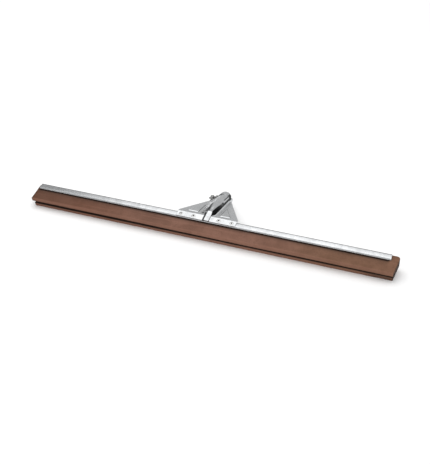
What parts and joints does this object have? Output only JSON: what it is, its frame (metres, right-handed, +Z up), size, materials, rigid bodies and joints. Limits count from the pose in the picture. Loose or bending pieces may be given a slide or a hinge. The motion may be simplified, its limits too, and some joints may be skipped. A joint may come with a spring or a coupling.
{
  "type": "floor squeegee head",
  "caption": "Wide floor squeegee head: cellular rubber blades in a folded steel channel, with a riveted bracket whose bent socket clamps a round handle by a wing screw.",
  "frame": {"origin": "middle of the part's box, on the ground that the lower lip and the socket's mouth touch", "axes": "+X along the blades, +Y from the lips to the socket's mouth, +Z up, as the head lies on the ground"},
  "size_m": [0.755, 0.152, 0.0417],
  "materials": {
    "moss_rubber": "matt cellular rubber with a fine open skin",
    "galvanised_sheet": "hot-dip galvanised sheet, satin",
    "rivet_steel": "zinc plated, satin",
    "dark_pin": "bare broken steel",
    "zinc_steel": "zinc plated, slightly dull"
  },
  "bodies": {
    "head": {"upper_blade": "moss_rubber", "lower_blade": "moss_rubber", "channel": "galvanised_sheet", "handle_bracket": "galvanised_sheet", "rivet_1": "rivet_steel", "rivet_2": "rivet_steel", "rivet_3": "rivet_steel", "rivet_4": "rivet_steel", "mandrel_1": "dark_pin", "mandrel_2": "dark_pin", "mandrel_3": "dark_pin", "mandrel_4": "dark_pin", "clamp_band": "galvanised_sheet", "clamp_nut": "zinc_steel"},
    "stud": {"clamp_stud": "zinc_steel"},
    "wing": {"clamp_wing": "zinc_steel"}
  },
  "joints": [
    {"name": "stud_feed", "type": "slide", "parent": "head", "child": "stud", "axis": [1, 0, 0], "range_m": [-0.0061, 0.0036]},
    {"name": "wing_turn", "type": "hinge", "parent": "stud", "child": "wing", "pos_m": [-0.00048, 0.06586, 0.0164], "axis": [1, 0, 0], "range_deg": [-2160, 1260]}
  ],
  "couplings": [
    {"joint": "stud_feed", "follows": "wing_turn", "m_per_rad": 0.00015915}
  ]
}
